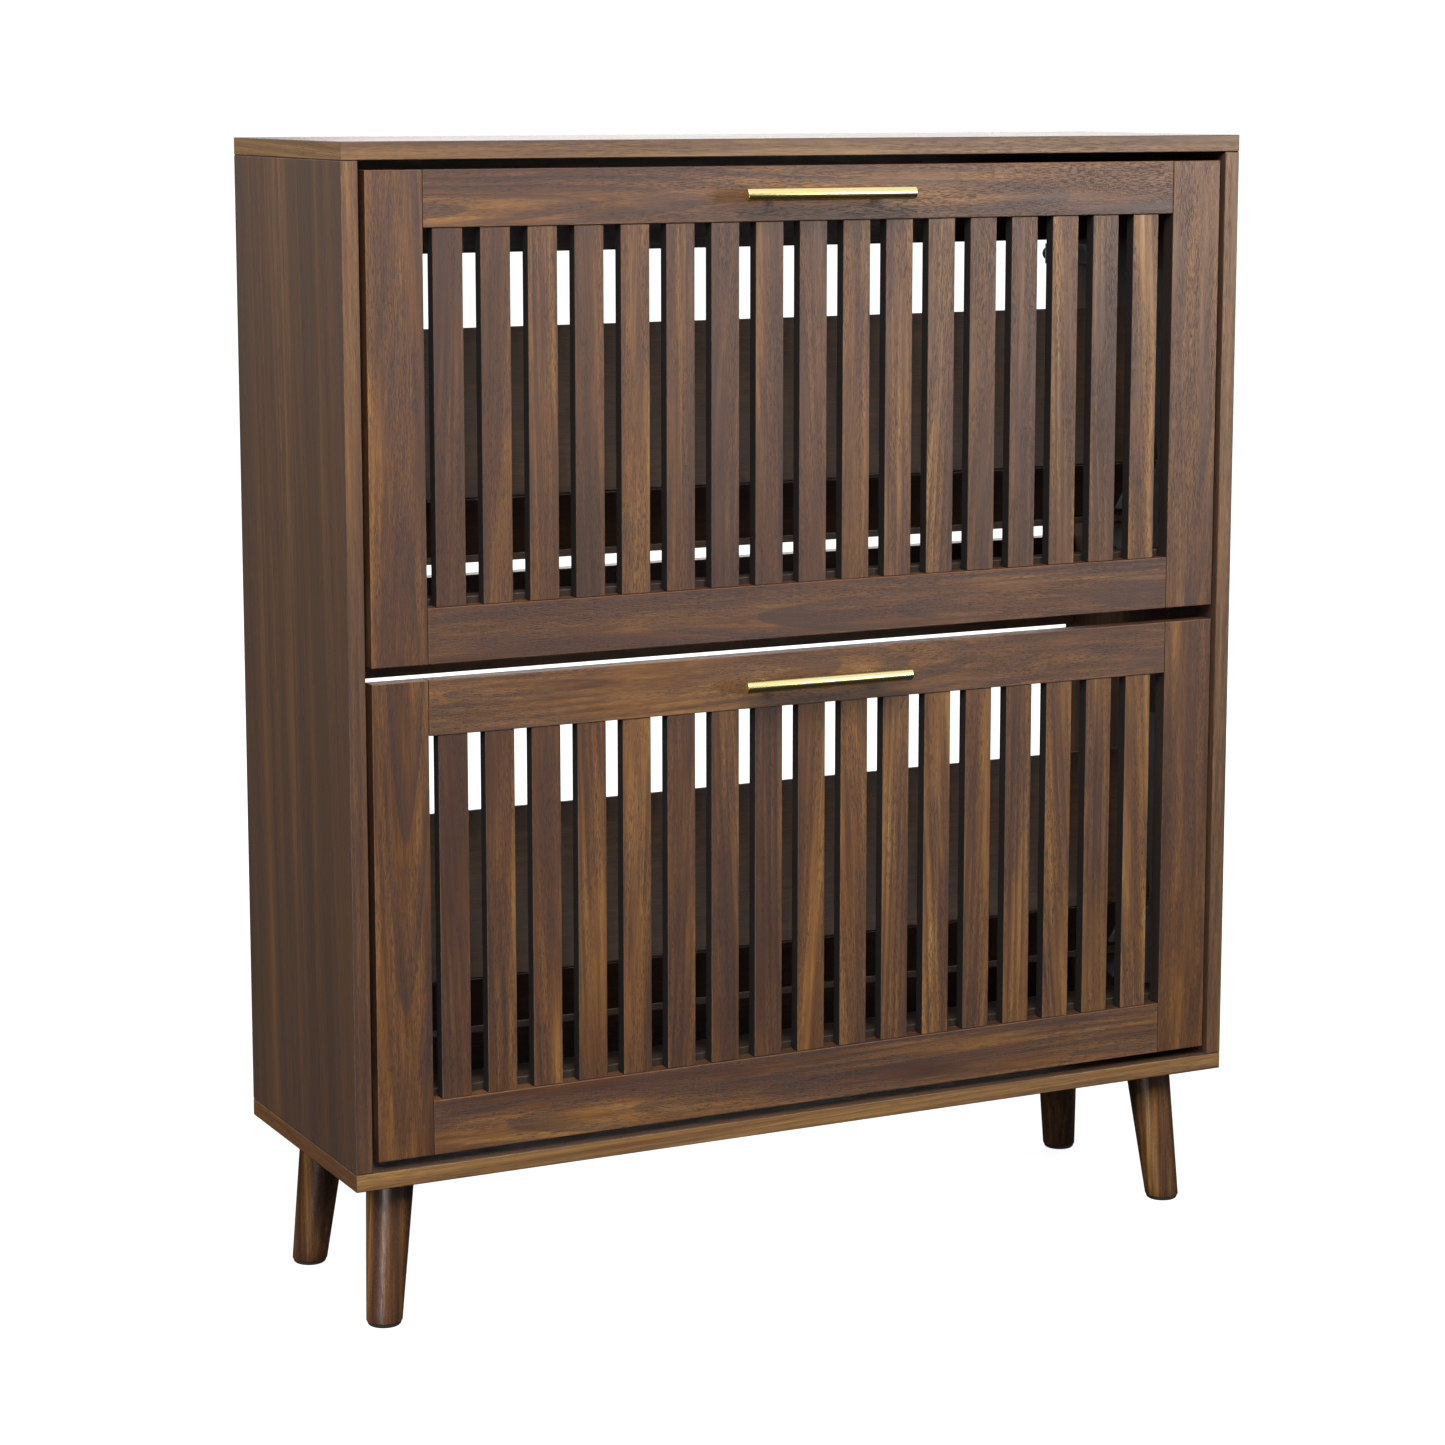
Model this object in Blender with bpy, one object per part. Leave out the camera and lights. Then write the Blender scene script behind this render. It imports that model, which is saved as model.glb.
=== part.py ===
"""Slatted shoe cabinet: a walnut carcass on four splayed legs, with two drawers that tilt forward.

The front faces -Y and the floor is Z = 0. Most places are given as three cabinet measures:
x across from the middle, depth back from the front face, and height above the floor.
"""
import math

import bmesh
import bpy
from mathutils import Matrix, Vector

# ---- driving dimensions, in metres ----
GAP = 0.0003               # left between pieces that touch

WIDTH = 0.800
DEPTH = 0.240
CASE_HEIGHT = 0.805
BOARD = 0.014

LEG_PLATE_SIZE = 0.056
LEG_PLATE_THICKNESS = 0.002
LEG_LENGTH = 0.1157
LEG_TOP_RADIUS = 0.0192
LEG_FOOT_RADIUS = 0.0144
LEG_TOP_INSET = 0.0455
LEG_FOOT_INSET = 0.0347
GLIDE_HEIGHT = 0.003
GLIDE_RADIUS = 0.0134
FOOT_EDGE = 0.0012         # bevel around the foot of each leg and glide

BACK_RAIL_HEIGHT = 0.081
BACK_RAIL_MIDDLE = 0.4023  # centre of the middle back rail above the case's underside

DOOR_WIDTH = 0.7622
DOOR_HEIGHT = 0.3748
DOOR_THICKNESS = 0.0143
DOOR_BOTTOM_CLEARANCE = 0.008
DOOR_PITCH = 0.387         # from the lower door to the upper door
STILE_WIDTH = 0.046
RAIL_WIDTH = 0.0433
JOINT_LINE = 0.0003

SLAT_COUNT = 17
SLAT_WIDTH = 0.0246
SLAT_PITCH = 0.0390
SLAT_FIRST_GAP = 0.0080    # between the left stile and the first slat
SLAT_THICKNESS = 0.0105
SLAT_RECESS = 0.0012
TENON_THICKNESS = 0.006
TENON_LENGTH = 0.005
TENON_SHOULDER = 0.001
GROOVE_DEPTH = 0.006

HANDLE_LENGTH = 0.150
HANDLE_RADIUS = 0.005
HANDLE_STANDOFF = 0.0234   # from the door's face to the bar's axis
HANDLE_POST_SPACING = 0.096
HANDLE_POST_RADIUS = 0.003
HANDLE_CHAMFER = 0.0006
SCREW_SHANK_RADIUS = 0.0019
SCREW_HOLE_RADIUS = 0.0023
SCREW_HEAD_RADIUS = 0.004
SCREW_HEAD_HEIGHT = 0.0025

PIVOT_DEPTH = 0.022        # from the door's face
PIVOT_HEIGHT = 0.035       # above the door's bottom edge
PIN_RADIUS = 0.004
PIN_HOLE_RADIUS = 0.0044
BOSS_RADIUS = 0.007
BOSS_HEIGHT = 0.002
PIVOT_PLATE_THICKNESS = 0.003
PIVOT_PLATE_OUTLINE = [    # depth and height from the pin's axis
    (-0.010, -0.020),
    (0.022, -0.020),
    (0.028, -0.014),
    (0.028, 0.020),
    (0.022, 0.026),
    (-0.010, 0.026),
]

ARM_THICKNESS = 0.004
ARM_OUTER = 0.3795         # outer face of each rack arm from the middle
RIB_REACH = 0.022          # how far the board seats stand in from the arm
RIB_THICKNESS = 0.003
DOOR_FLANGE_REACH = 0.034

ARM_OUTLINE = [            # depth and height above the door's bottom
    (0.0149, 0.022),
    (0.040, 0.022),
    (0.100, 0.020),
    (0.186, 0.048),
    (0.186, 0.074),
    (0.150, 0.090),
    (0.128, 0.135),
    (0.121, 0.258),
    (0.110, 0.262),
    (0.085, 0.281),
    (0.0149, 0.281),
]
UPPER_SEATS = ((0.12, 0.40), (0.72, 0.98))   # shares of the upper board's height that rest on the arm
LOWER_SEAT = (0.15, 0.85)                    # the same along the lower board
FRONT_SEAT_START = 0.2                       # the same along the front shelf, from its crest

RACK_BOARD = 0.009
RACK_SHELF = 0.006
UPPER_BOARD_TOP = (0.1010, 0.2486)      # depth and height of its front face, above the door's bottom
BEND = (0.0765, 0.1167)                 # where the upper board ends and the lower board starts
LOWER_BOARD_FOOT = (0.1160, 0.0661)
BACK_SHELF_REACH = 0.068
FRONT_SHELF_CREST = (0.034, 0.0481)
FRONT_SHELF_END = (0.092, 0.0365)

BRACKET_THICKNESS = 0.002
BRACKET_HEIGHT = 0.018
BRACKET_CENTRE = 0.6973    # above the case's underside
BRACKET_SIDE_LEG = 0.030
BRACKET_BACK_LEG = 0.030
BUMPER_RADIUS = 0.006
BUMPER_THICKNESS = 0.0044

ROUND_STEPS = 32
SHARP_ANGLE = math.radians(35)
SMALL_ROUND_STEPS = 24

# ---- places worked out from them ----
LEG_HEIGHT = LEG_PLATE_THICKNESS + LEG_LENGTH + GLIDE_HEIGHT + GAP
HANDLE_REACH = HANDLE_STANDOFF + HANDLE_RADIUS
FRONT_Y = (HANDLE_REACH - DEPTH) / 2
LOWER_DOOR_BOTTOM = LEG_HEIGHT + BOARD + DOOR_BOTTOM_CLEARANCE
DRAWERS = {"lower": LOWER_DOOR_BOTTOM, "upper": LOWER_DOOR_BOTTOM + DOOR_PITCH}
SIDES = {"left": -1, "right": 1}
ENDS = {"front": 0, "back": 1}
OPENING_WIDTH = DOOR_WIDTH - 2 * STILE_WIDTH
RACK_HALF_WIDTH = ARM_OUTER - ARM_THICKNESS - GAP


# ---- materials ----
def make_material(name, colour, roughness, metallic=0.0):
    material = bpy.data.materials.new(name)
    material.use_nodes = True
    shader = material.node_tree.nodes["Principled BSDF"]
    shader.inputs["Base Color"].default_value = (*colour, 1.0)
    shader.inputs["Roughness"].default_value = roughness
    shader.inputs["Metallic"].default_value = metallic
    return material


def make_materials():
    return {
        "carcass": make_material("carcass_walnut", (0.165, 0.105, 0.065), 0.45),
        "door": make_material("door_walnut", (0.185, 0.100, 0.050), 0.42),
        "leg": make_material("leg_walnut", (0.120, 0.065, 0.035), 0.38),
        "rack": make_material("rack_board", (0.090, 0.060, 0.040), 0.55),
        "brass": make_material("brass", (0.720, 0.560, 0.230), 0.22, 1.0),
        "steel": make_material("zinc_steel", (0.560, 0.570, 0.580), 0.35, 1.0),
        "plastic": make_material("grey_plastic", (0.260, 0.260, 0.265), 0.50),
        "rubber": make_material("black_rubber", (0.015, 0.015, 0.016), 0.80),
    }


# ---- shapes ----
def place(x, depth, height):
    """The world point at these cabinet measures."""
    return Vector((x, FRONT_Y + depth, height))


def add_object(name, mesh, location=(0, 0, 0), parent=None):
    item = bpy.data.objects.new(name, mesh)
    item.location = location
    item.parent = parent
    bpy.context.scene.collection.objects.link(item)
    return item


def finish_mesh(name, shape, material, smooth=False):
    """Turn a bmesh into a mesh whose faces point out."""
    bmesh.ops.recalc_face_normals(shape, faces=shape.faces)
    mesh = bpy.data.meshes.new(name)
    shape.to_mesh(mesh)
    shape.free()
    mesh.materials.append(material)
    if smooth:
        mesh.shade_smooth()
        mesh.set_sharp_from_angle(angle=SHARP_ANGLE)
    return mesh


def box_into(shape, low, high):
    """Add an axis-aligned box to a bmesh."""
    low, high = Vector(low), Vector(high)
    middle = Matrix.Translation((low + high) / 2)
    stretch = Matrix.Diagonal((*(high - low), 1))
    bmesh.ops.create_cube(shape, size=1.0, matrix=middle @ stretch)


def boxes_mesh(name, boxes, material):
    shape = bmesh.new()
    for low, high in boxes:
        box_into(shape, low, high)
    return finish_mesh(name, shape, material)


def prism_into(shape, outline, x_from, x_to):
    """Add a (depth, height) outline carried along X to a bmesh."""
    loop = [shape.verts.new((x_from, depth, height)) for depth, height in outline]
    face = shape.faces.new(loop)
    swept = bmesh.ops.extrude_face_region(shape, geom=[face])["geom"]
    moved = [item for item in swept if isinstance(item, bmesh.types.BMVert)]
    bmesh.ops.translate(shape, verts=moved, vec=(x_to - x_from, 0, 0))


def prisms_mesh(name, outlines, material):
    """One mesh of (outline, x_from, x_to) prisms."""
    shape = bmesh.new()
    for outline, x_from, x_to in outlines:
        prism_into(shape, outline, x_from, x_to)
    return finish_mesh(name, shape, material)


def ring(centre, radius, along, steps):
    """Points of a circle about centre, facing the axis 'x', 'y' or 'z'."""
    points = []
    for step in range(steps):
        angle = 2 * math.pi * step / steps
        a, b = radius * math.cos(angle), radius * math.sin(angle)
        offset = {"x": (0, a, b), "y": (b, 0, a), "z": (a, b, 0)}[along]
        points.append(Vector(centre) + Vector(offset))
    return points


def round_into(shape, stations, along, steps):
    """Add a closed round solid through (centre, radius) stations to a bmesh."""
    loops = []
    for centre, radius in stations:
        loops.append([shape.verts.new(point) for point in ring(centre, radius, along, steps)])
    for near, far in zip(loops, loops[1:]):
        for step in range(steps):
            following = (step + 1) % steps
            shape.faces.new((near[step], near[following], far[following], far[step]))
    shape.faces.new(loops[0])
    shape.faces.new(loops[-1])


def round_mesh(name, solids, material, along, steps=ROUND_STEPS):
    """One mesh of round solids, each a list of (centre, radius) stations."""
    shape = bmesh.new()
    for stations in solids:
        round_into(shape, stations, along, steps)
    return finish_mesh(name, shape, material, smooth=True)


def combine(item, helper_mesh, operation, parent=None):
    """Cut or join a hidden helper with an object by an exact Boolean."""
    helper = add_object(f"{item.name}_{operation.lower()}_helper", helper_mesh, item.location, parent)
    helper.hide_render = True
    helper.display_type = "WIRE"
    boolean = item.modifiers.new(operation.title(), "BOOLEAN")
    boolean.operation = operation
    boolean.object = helper


# ---- carcass ----
def add_board(name, low, high, material):
    """A board between two corners given as (x, depth, height), with its origin in its middle."""
    low, high = place(*low), place(*high)
    middle = (low + high) / 2
    return add_object(name, boxes_mesh(name, [(low - middle, high - middle)], material), middle)


def add_carcass(materials):
    half = WIDTH / 2
    inner = half - BOARD
    bottom = LEG_HEIGHT
    top = bottom + CASE_HEIGHT
    walnut = materials["carcass"]
    add_board("bottom_board", (-half, 0, bottom), (half, DEPTH, bottom + BOARD), walnut)
    add_board("top_board", (-half, 0, top - BOARD), (half, DEPTH, top), walnut)
    side_low, side_high = bottom + BOARD + GAP, top - BOARD - GAP
    add_board("left_side", (-half, 0, side_low), (-inner, DEPTH, side_high), walnut)
    add_board("right_side", (inner, 0, side_low), (half, DEPTH, side_high), walnut)
    rail_bottoms = {
        "back_rail_bottom": side_low,
        "back_rail_middle": bottom + BACK_RAIL_MIDDLE - BACK_RAIL_HEIGHT / 2,
        "back_rail_top": side_high - BACK_RAIL_HEIGHT,
    }
    for name, low in rail_bottoms.items():
        corner = (-inner + GAP, DEPTH - BOARD, low)
        add_board(name, corner, (inner - GAP, DEPTH, low + BACK_RAIL_HEIGHT), walnut)


def add_legs(materials):
    foot_height = GLIDE_HEIGHT + GAP
    leg_top = LEG_HEIGHT - LEG_PLATE_THICKNESS - 2 * GAP
    for end, is_back in ENDS.items():
        for side, sign in SIDES.items():
            top_x, foot_x = (sign * (WIDTH / 2 - inset) for inset in (LEG_TOP_INSET, LEG_FOOT_INSET))
            top_y, foot_y = (
                DEPTH - inset if is_back else inset for inset in (LEG_TOP_INSET, LEG_FOOT_INSET)
            )
            label = f"{end}_{side}"
            foot = place(foot_x, foot_y, foot_height)
            lean = place(top_x, top_y, leg_top) - foot
            stations = [
                (Vector((0, 0, 0)), LEG_FOOT_RADIUS - FOOT_EDGE),
                (lean * (FOOT_EDGE / lean.z), LEG_FOOT_RADIUS),
                (lean / 2, (LEG_FOOT_RADIUS + LEG_TOP_RADIUS) / 2),
                (lean, LEG_TOP_RADIUS),
            ]
            name = f"leg_{label}"
            add_object(name, round_mesh(name, [stations], materials["leg"], "z"), foot)

            name = f"glide_{label}"
            glide = [((0, 0, 0), GLIDE_RADIUS - FOOT_EDGE), ((0, 0, FOOT_EDGE), GLIDE_RADIUS)]
            glide.append(((0, 0, GLIDE_HEIGHT), GLIDE_RADIUS))
            glide_mesh = round_mesh(name, [glide], materials["rubber"], "z")
            add_object(name, glide_mesh, place(foot_x, foot_y, 0))

            half = LEG_PLATE_SIZE / 2
            plate_low = LEG_HEIGHT - GAP - LEG_PLATE_THICKNESS
            corner = (top_x - half, top_y - half, plate_low)
            far_corner = (top_x + half, top_y + half, plate_low + LEG_PLATE_THICKNESS)
            add_board(f"leg_plate_{label}", corner, far_corner, materials["steel"])


def add_wall_brackets(materials):
    """A small steel angle near the top of each side, with a round rubber bumper behind it."""
    inner = WIDTH / 2 - BOARD
    centre = LEG_HEIGHT + BRACKET_CENTRE
    low, high = centre - BRACKET_HEIGHT / 2, centre + BRACKET_HEIGHT / 2
    back = DEPTH - BUMPER_THICKNESS - 2 * GAP
    for side, sign in SIDES.items():
        outer_x = inner - GAP
        outline = [
            (outer_x, back - BRACKET_SIDE_LEG),
            (outer_x, back),
            (outer_x - BRACKET_BACK_LEG, back),
            (outer_x - BRACKET_BACK_LEG, back - BRACKET_THICKNESS),
            (outer_x - BRACKET_THICKNESS, back - BRACKET_THICKNESS),
            (outer_x - BRACKET_THICKNESS, back - BRACKET_SIDE_LEG),
        ]
        name = f"wall_bracket_{side}"
        shape = bmesh.new()
        corners = [shape.verts.new((sign * x, depth, 0)) for x, depth in outline]
        swept = bmesh.ops.extrude_face_region(shape, geom=[shape.faces.new(corners)])["geom"]
        moved = [item for item in swept if isinstance(item, bmesh.types.BMVert)]
        bmesh.ops.translate(shape, verts=moved, vec=(0, 0, high - low))
        add_object(name, finish_mesh(name, shape, materials["steel"]), place(0, 0, low))

        name = f"wall_bumper_{side}"
        stations = [((0, 0, 0), BUMPER_RADIUS), ((0, BUMPER_THICKNESS, 0), BUMPER_RADIUS)]
        bumper_x = sign * (outer_x - BRACKET_BACK_LEG + BUMPER_RADIUS)
        bumper = round_mesh(name, [stations], materials["rubber"], "y", SMALL_ROUND_STEPS)
        add_object(name, bumper, place(bumper_x, back + GAP, centre))


def add_pivot_plates(materials):
    """A plate on each side board, with the hole that a drawer's pin turns in."""
    outer = WIDTH / 2 - BOARD - GAP
    inner = outer - PIVOT_PLATE_THICKNESS
    for drawer, door_bottom in DRAWERS.items():
        for side, sign in SIDES.items():
            name = f"{drawer}_pivot_plate_{side}"
            solid = (PIVOT_PLATE_OUTLINE, sign * inner, sign * outer)
            mesh = prisms_mesh(name, [solid], materials["plastic"])
            axis = place(0, PIVOT_DEPTH, door_bottom + PIVOT_HEIGHT)
            plate = add_object(name, mesh, axis)
            reach = (sign * (inner - BOSS_HEIGHT), sign * (outer + BOSS_HEIGHT))
            stations = [((x, 0, 0), PIN_HOLE_RADIUS) for x in reach]
            hole = round_mesh(f"{name}_hole", [stations], materials["plastic"], "x", SMALL_ROUND_STEPS)
            combine(plate, hole, "DIFFERENCE")


# ---- drawers, modelled about their pivot: y is depth and z is height from the pin's axis ----
def door_measures(depth, height):
    """Depth from the door's face and height above its bottom edge, from the pivot."""
    return depth - PIVOT_DEPTH, height - PIVOT_HEIGHT


def door_box(x_from, x_to, depth_from, depth_to, height_from, height_to):
    near = door_measures(depth_from, height_from)
    far = door_measures(depth_to, height_to)
    return (x_from, *near), (x_to, *far)


def door_outline(points):
    return [door_measures(depth, height) for depth, height in points]


def stile_meshes(materials):
    outer = DOOR_WIDTH / 2
    meshes = {}
    for side, sign in SIDES.items():
        x_from, x_to = sorted((sign * outer, sign * (outer - STILE_WIDTH)))
        solid = door_box(x_from, x_to, 0, DOOR_THICKNESS, 0, DOOR_HEIGHT)
        meshes[f"{side}_stile"] = boxes_mesh(f"{side}_stile", [solid], materials["door"])
    return meshes


def rail_meshes(materials):
    """The two rails, grooved along their inner edges for the slats' tenons."""
    reach = OPENING_WIDTH / 2 - JOINT_LINE
    middle = SLAT_RECESS + SLAT_THICKNESS / 2
    half = TENON_THICKNESS / 2 + GAP
    near, far = middle - half, middle + half
    bottom_outline = [
        (0, 0),
        (DOOR_THICKNESS, 0),
        (DOOR_THICKNESS, RAIL_WIDTH),
        (far, RAIL_WIDTH),
        (far, RAIL_WIDTH - GROOVE_DEPTH),
        (near, RAIL_WIDTH - GROOVE_DEPTH),
        (near, RAIL_WIDTH),
        (0, RAIL_WIDTH),
    ]
    top_outline = [(depth, DOOR_HEIGHT - height) for depth, height in bottom_outline]
    meshes = {}
    for name, outline in (("bottom_rail", bottom_outline), ("top_rail", top_outline)):
        solid = (door_outline(outline), -reach, reach)
        meshes[name] = prisms_mesh(name, [solid], materials["door"])
    return meshes


def slat_places():
    """The left and right edge of each slat, from the middle."""
    first = -OPENING_WIDTH / 2 + SLAT_FIRST_GAP
    lefts = [first + number * SLAT_PITCH for number in range(SLAT_COUNT)]
    return [(left, left + SLAT_WIDTH) for left in lefts]


def tenon_gap_boxes():
    """What is cut from the tenon panel, to leave a tongue for each slat on a strip at each end."""
    middle = SLAT_RECESS + SLAT_THICKNESS / 2
    depths = (middle - TENON_THICKNESS, middle + TENON_THICKNESS)
    strip = TENON_LENGTH - TENON_SHOULDER
    heights = (RAIL_WIDTH - TENON_LENGTH + strip, DOOR_HEIGHT - RAIL_WIDTH + TENON_LENGTH - strip)
    edge = OPENING_WIDTH / 2 + TENON_SHOULDER
    cuts = [-edge]
    for left, right in slat_places():
        cuts += [left + TENON_SHOULDER, right - TENON_SHOULDER]
    cuts.append(edge)
    return [door_box(a, b, *depths, *heights) for a, b in zip(cuts[::2], cuts[1::2])]


def add_grille(name, parent, meshes):
    """Seventeen slats on their tenons, which run in the rails' grooves."""
    grille = add_object(name, meshes["tenon_panel"], parent=parent)
    combine(grille, meshes["tenon_gaps"], "DIFFERENCE", parent)
    combine(grille, meshes["slats"], "UNION", parent)


def grille_meshes(materials):
    reach = OPENING_WIDTH / 2 - 2 * JOINT_LINE
    middle = SLAT_RECESS + SLAT_THICKNESS / 2
    depths = (middle - TENON_THICKNESS / 2, middle + TENON_THICKNESS / 2)
    heights = (RAIL_WIDTH - TENON_LENGTH, DOOR_HEIGHT - RAIL_WIDTH + TENON_LENGTH)
    slat_heights = (RAIL_WIDTH + GAP, DOOR_HEIGHT - RAIL_WIDTH - GAP)
    slat_depths = (SLAT_RECESS, SLAT_RECESS + SLAT_THICKNESS)
    slats = [door_box(left, right, *slat_depths, *slat_heights) for left, right in slat_places()]
    panel = [door_box(-reach, reach, *depths, *heights)]
    return {
        "tenon_panel": boxes_mesh("tenon_panel", panel, materials["door"]),
        "tenon_gaps": boxes_mesh("tenon_gaps", tenon_gap_boxes(), materials["door"]),
        "slats": boxes_mesh("slats", slats, materials["door"]),
    }


def handle_meshes(materials):
    """A round bar on two posts, with a screw behind each post."""
    height = DOOR_HEIGHT - RAIL_WIDTH / 2
    half = HANDLE_LENGTH / 2
    axis = door_measures(-HANDLE_STANDOFF, height)
    stations = [
        ((-half, *axis), HANDLE_RADIUS - HANDLE_CHAMFER),
        ((-half + HANDLE_CHAMFER, *axis), HANDLE_RADIUS),
        ((half - HANDLE_CHAMFER, *axis), HANDLE_RADIUS),
        ((half, *axis), HANDLE_RADIUS - HANDLE_CHAMFER),
    ]
    meshes = {"handle_bar": round_mesh("handle_bar", [stations], materials["brass"], "x")}
    holes = []
    for side, sign in SIDES.items():
        x = sign * HANDLE_POST_SPACING / 2
        ends = (-HANDLE_STANDOFF + HANDLE_RADIUS + GAP, -GAP)
        post = [((x, *door_measures(depth, height)), HANDLE_POST_RADIUS) for depth in ends]
        name = f"handle_post_{side}"
        meshes[name] = round_mesh(name, [post], materials["brass"], "y", SMALL_ROUND_STEPS)

        head_depth = DOOR_THICKNESS + GAP
        screw = [
            ((x, *door_measures(GAP, height)), SCREW_SHANK_RADIUS),
            ((x, *door_measures(head_depth, height)), SCREW_SHANK_RADIUS),
            ((x, *door_measures(head_depth, height)), SCREW_HEAD_RADIUS),
            ((x, *door_measures(head_depth + SCREW_HEAD_HEIGHT, height)), SCREW_HEAD_RADIUS),
        ]
        name = f"handle_screw_{side}"
        meshes[name] = round_mesh(name, [screw], materials["steel"], "y", SMALL_ROUND_STEPS)
        through = (-BOARD, DOOR_THICKNESS + BOARD)
        holes.append([((x, *door_measures(depth, height)), SCREW_HOLE_RADIUS) for depth in through])
    hole_mesh = round_mesh("screw_holes", holes, materials["door"], "y", SMALL_ROUND_STEPS)
    return meshes, hole_mesh


def unit(start, end):
    """The direction from start to end, and the one square to it that points up or back."""
    along = (Vector(end) - Vector(start)).normalized()
    return along, Vector((-along.y, along.x))


def rack_outlines():
    """The rack boards' side outlines, as depth and height above the door's bottom."""
    top, bend, foot = Vector(UPPER_BOARD_TOP), Vector(BEND), Vector(LOWER_BOARD_FOOT)
    rise, back = unit(bend, top)
    back = -back                                 # square to the upper board, towards the back
    upper = [bend, top, top + RACK_BOARD * back, bend + RACK_BOARD * back]

    fall, above = unit(bend, foot)
    turn = -fall.dot(rise)                       # how fast the lower board drops from the upper one
    start_near = GAP / turn
    start_far = (RACK_BOARD * above.dot(rise) + GAP) / turn
    far_line = bend + RACK_BOARD * above
    end_far = (far_line.y - foot.y) / -fall.y
    lower = [bend + start_near * fall, foot, far_line + end_far * fall, far_line + start_far * fall]

    shelf_top = foot.y - GAP
    shelf_back = foot.x + BACK_SHELF_REACH
    back_shelf = [
        (foot.x, shelf_top - RACK_SHELF),
        (shelf_back, shelf_top - RACK_SHELF),
        (shelf_back, shelf_top),
        (foot.x, shelf_top),
    ]

    crest, end = Vector(FRONT_SHELF_CREST), Vector(FRONT_SHELF_END)
    front = DOOR_THICKNESS + 2 * GAP + RIB_THICKNESS + GAP
    drop = Vector((0, RACK_BOARD))
    front_shelf = [(front, crest.y), crest, end, end - drop, crest - drop, (front, crest.y - RACK_BOARD)]
    return {
        "rack_upper_board": upper,
        "rack_lower_board": lower,
        "rack_back_shelf": back_shelf,
        "rack_front_shelf": front_shelf,
    }


def rack_board_meshes(materials):
    meshes = {}
    for name, outline in rack_outlines().items():
        solid = (door_outline(outline), -RACK_HALF_WIDTH, RACK_HALF_WIDTH)
        meshes[name] = prisms_mesh(name, [solid], materials["rack"])
    return meshes


def rib_outlines():
    """The arm's seats behind and under the boards, its top flange and its flange on the door."""
    boards = rack_outlines()
    clear = GAP + RIB_THICKNESS
    ribs = []

    upper = boards["rack_upper_board"]
    rise, back = unit(upper[0], upper[1])
    back = -back
    length = (upper[1] - upper[0]).length
    for share_from, share_to in UPPER_SEATS:
        start = upper[3] + share_from * length * rise
        end = upper[3] + share_to * length * rise
        ribs.append([start + GAP * back, end + GAP * back, end + clear * back, start + clear * back])

    lower = boards["rack_lower_board"]
    fall, above = unit(lower[0], lower[1])
    length = (lower[1] - lower[0]).length
    start, end = (lower[0] + share * length * fall for share in LOWER_SEAT)
    ribs.append([start - GAP * above, start - clear * above, end - clear * above, end - GAP * above])

    shelf = boards["rack_back_shelf"]
    floor = shelf[0][1] - GAP
    ribs.append([
        (shelf[0][0] + RACK_BOARD, floor - RIB_THICKNESS),
        (shelf[1][0], floor - RIB_THICKNESS),
        (shelf[1][0], floor),
        (shelf[0][0] + RACK_BOARD, floor),
    ])

    end_low = boards["rack_front_shelf"][3]
    crest_low = boards["rack_front_shelf"][4]
    down = Vector((0, GAP))
    thick = Vector((0, clear))
    near = crest_low + FRONT_SEAT_START * (end_low - crest_low)
    ribs.append([near - down, near - thick, end_low - thick, end_low - down])
    return ribs



def arm_meshes(side, sign, materials):
    """A side arm of the rack: its plate, and what is joined to it."""
    outer = sign * ARM_OUTER
    inner = sign * (ARM_OUTER - ARM_THICKNESS)
    lap = sign * (ARM_OUTER - ARM_THICKNESS / 2)
    solid = (door_outline(ARM_OUTLINE), inner, outer)
    plate = prisms_mesh(f"{side}_arm_plate", [solid], materials["plastic"])

    rib_end = inner - sign * RIB_REACH
    ribs = [(door_outline(outline), rib_end, lap) for outline in rib_outlines()]
    ribs_mesh = prisms_mesh(f"{side}_arm_ribs", ribs, materials["plastic"])

    near = DOOR_THICKNESS + 2 * GAP
    bottom, top = ARM_OUTLINE[0][1], ARM_OUTLINE[-1][1]
    flange = [(near, bottom), (near + RIB_THICKNESS, bottom), (near + RIB_THICKNESS, top), (near, top)]
    flange_end = inner - sign * DOOR_FLANGE_REACH
    flange_solid = (door_outline(flange), flange_end, lap)
    flange_mesh = prisms_mesh(f"{side}_arm_flange", [flange_solid], materials["plastic"])

    boss = [((x, 0, 0), BOSS_RADIUS) for x in (lap, outer + sign * BOSS_HEIGHT)]
    pin_end = sign * (WIDTH / 2 - BOARD - 3 * GAP)
    pin = [((x, 0, 0), PIN_RADIUS) for x in (lap, pin_end)]
    boss_mesh = round_mesh(f"{side}_arm_boss", [boss], materials["plastic"], "x", SMALL_ROUND_STEPS)
    pin_mesh = round_mesh(f"{side}_arm_pin", [pin], materials["plastic"], "x", SMALL_ROUND_STEPS)
    return plate, (ribs_mesh, flange_mesh, boss_mesh, pin_mesh)


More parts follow.
